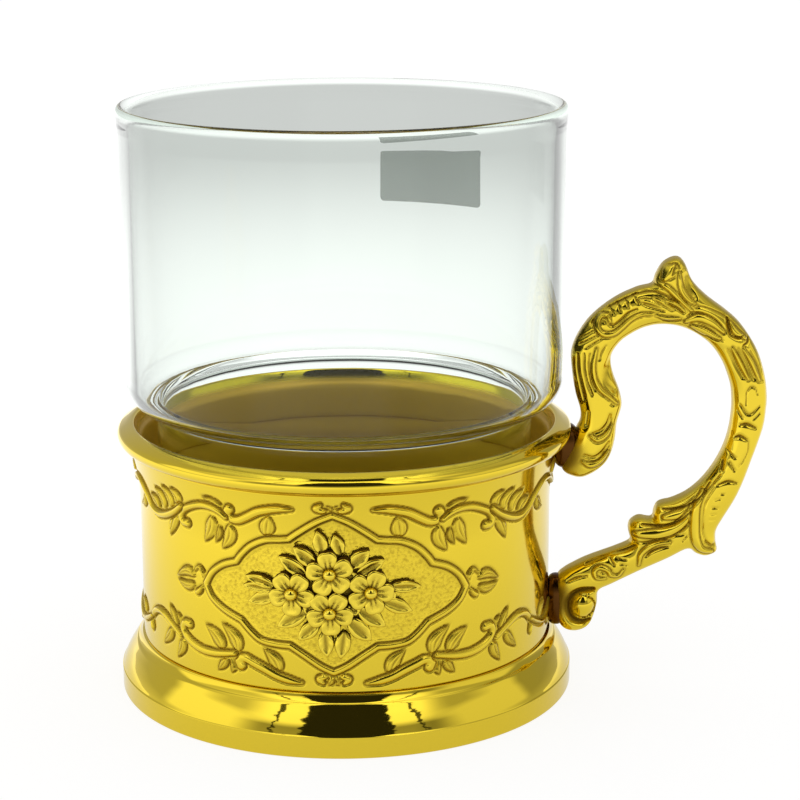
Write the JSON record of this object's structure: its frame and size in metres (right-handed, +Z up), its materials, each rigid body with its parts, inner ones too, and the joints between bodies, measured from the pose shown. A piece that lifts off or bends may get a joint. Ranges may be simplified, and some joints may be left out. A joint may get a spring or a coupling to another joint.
{
  "type": "tea glass holder",
  "caption": "Gilt metal holder with an embossed sleeve, flared foot and scrolled side handle, carrying a stepped clear tea glass that lifts out.",
  "frame": {"origin": "on the cup's axis, at the middle of the foot's underside", "axes": "+Z up along the cup's axis, +X from the cup towards the handle, -Y towards the front medallion"},
  "size_m": [0.0994, 0.07, 0.0902],
  "materials": {
    "gilt_brass": "polished bright gold plating over embossed and cast brass",
    "gilt_floor": "satin plated sheet",
    "solder": "heat-darkened solder under the plating",
    "clear_glass": "clear soda-lime glass with a fire-polished lip",
    "label_film": "translucent grey film, blank"
  },
  "bodies": {
    "holder": {"foot_ring": "gilt_brass", "base_plate": "gilt_floor", "floor_plate": "gilt_floor", "sleeve": "gilt_brass", "top_rim": "gilt_brass", "front_flower_spray": "gilt_brass", "rear_flower_spray": "gilt_brass", "handle": "gilt_brass", "upper_solder_joint": "solder", "lower_solder_joint": "solder"},
    "glass": {"tea_glass": "clear_glass", "glass_label": "label_film"}
  },
  "joints": [
    {"name": "glass_lift", "type": "slide", "parent": "holder", "child": "glass", "axis": [0, 0, 1], "range_m": [0, 0.045]}
  ]
}
